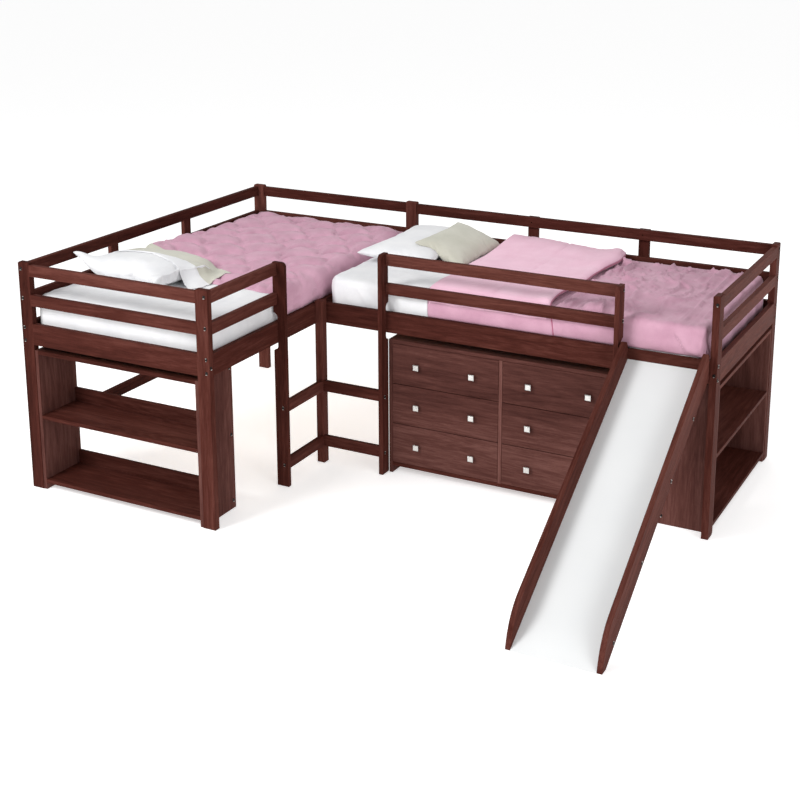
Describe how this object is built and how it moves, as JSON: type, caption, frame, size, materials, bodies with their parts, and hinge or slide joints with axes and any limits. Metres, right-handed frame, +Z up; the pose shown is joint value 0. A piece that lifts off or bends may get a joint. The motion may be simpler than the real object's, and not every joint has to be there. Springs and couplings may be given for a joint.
{
  "type": "l shaped bunk bed",
  "caption": "Two low loft beds joined in an L, with guard rails, two short ladders, a slide, a dresser with drawers, two bookcases and bedding.",
  "frame": {"origin": "on the floor, below the middle of the whole object's box", "axes": "+X along bed B to the right, the longest side; +Y to the wall behind bed B; +Z up"},
  "size_m": [3.0838, 2.3504, 1.124],
  "materials": {
    "stained_wood": "satin dark red brown stain with visible grain",
    "bare_wood": "plain sanded pine",
    "slide_white": "smooth white paint",
    "nickel": "satin nickel",
    "dark_steel": "dark bronzed steel",
    "white_linen": "plain white cotton",
    "sage_linen": "plain pale sage cotton",
    "pink_quilt": "stitched pale pink quilt"
  },
  "bodies": {
    "bed": {"bed_posts": "stained_wood", "corner_post": "stained_wood", "ladder_posts": "stained_wood", "guard_post": "stained_wood", "end_rails_front": "stained_wood", "end_rails_back": "stained_wood", "end_rails_right": "stained_wood", "end_boards": "stained_wood", "guard_rails_a": "stained_wood", "guard_rails_b": "stained_wood", "wall_rails_a": "stained_wood", "wall_rails_b": "stained_wood", "wall_uprights": "stained_wood", "side_rails_wall": "stained_wood", "side_rail_a": "stained_wood", "side_rail_b": "stained_wood", "stretchers": "stained_wood", "ladder_rungs": "stained_wood", "slat_cleats": "bare_wood", "bed_slats": "bare_wood", "bookcase_a_sides": "stained_wood", "bookcase_a_shelves": "stained_wood", "bookcase_b_sides": "stained_wood", "bookcase_b_shelves": "stained_wood", "shelf_lips": "stained_wood", "dresser_sides": "stained_wood", "dresser_top": "stained_wood", "dresser_base": "stained_wood", "dresser_back": "stained_wood", "drawer_runners": "bare_wood", "slide_panel": "slide_white", "slide_sides": "stained_wood", "slide_hooks": "dark_steel", "bolts": "dark_steel", "mattress_a": "white_linen", "mattress_b": "white_linen", "pillow_a_white": "white_linen", "pillow_a_sage": "sage_linen", "pillow_b_white": "white_linen", "pillow_b_sage": "sage_linen", "quilt_a": "pink_quilt", "quilt_b": "pink_quilt"},
    "drawer_1": {"drawer_front_1": "stained_wood", "drawer_box_1": "bare_wood", "drawer_knobs_1": "nickel"},
    "drawer_2": {"drawer_front_2": "stained_wood", "drawer_box_2": "bare_wood", "drawer_knobs_2": "nickel"},
    "drawer_3": {"drawer_front_3": "stained_wood", "drawer_box_3": "bare_wood", "drawer_knobs_3": "nickel"},
    "drawer_4": {"drawer_front_4": "stained_wood", "drawer_box_4": "bare_wood", "drawer_knobs_4": "nickel"},
    "drawer_5": {"drawer_front_5": "stained_wood", "drawer_box_5": "bare_wood", "drawer_knobs_5": "nickel"},
    "drawer_6": {"drawer_front_6": "stained_wood", "drawer_box_6": "bare_wood", "drawer_knobs_6": "nickel"}
  },
  "joints": [
    {"name": "drawer_slide_1", "type": "slide", "parent": "bed", "child": "drawer_1", "axis": [0, -1, 0], "range_m": [0, 0.27]},
    {"name": "drawer_slide_2", "type": "slide", "parent": "bed", "child": "drawer_2", "axis": [0, -1, 0], "range_m": [0, 0.27]},
    {"name": "drawer_slide_3", "type": "slide", "parent": "bed", "child": "drawer_3", "axis": [0, -1, 0], "range_m": [0, 0.27]},
    {"name": "drawer_slide_4", "type": "slide", "parent": "bed", "child": "drawer_4", "axis": [0, -1, 0], "range_m": [0, 0.27]},
    {"name": "drawer_slide_5", "type": "slide", "parent": "bed", "child": "drawer_5", "axis": [0, -1, 0], "range_m": [0, 0.27]},
    {"name": "drawer_slide_6", "type": "slide", "parent": "bed", "child": "drawer_6", "axis": [0, -1, 0], "range_m": [0, 0.27]}
  ]
}
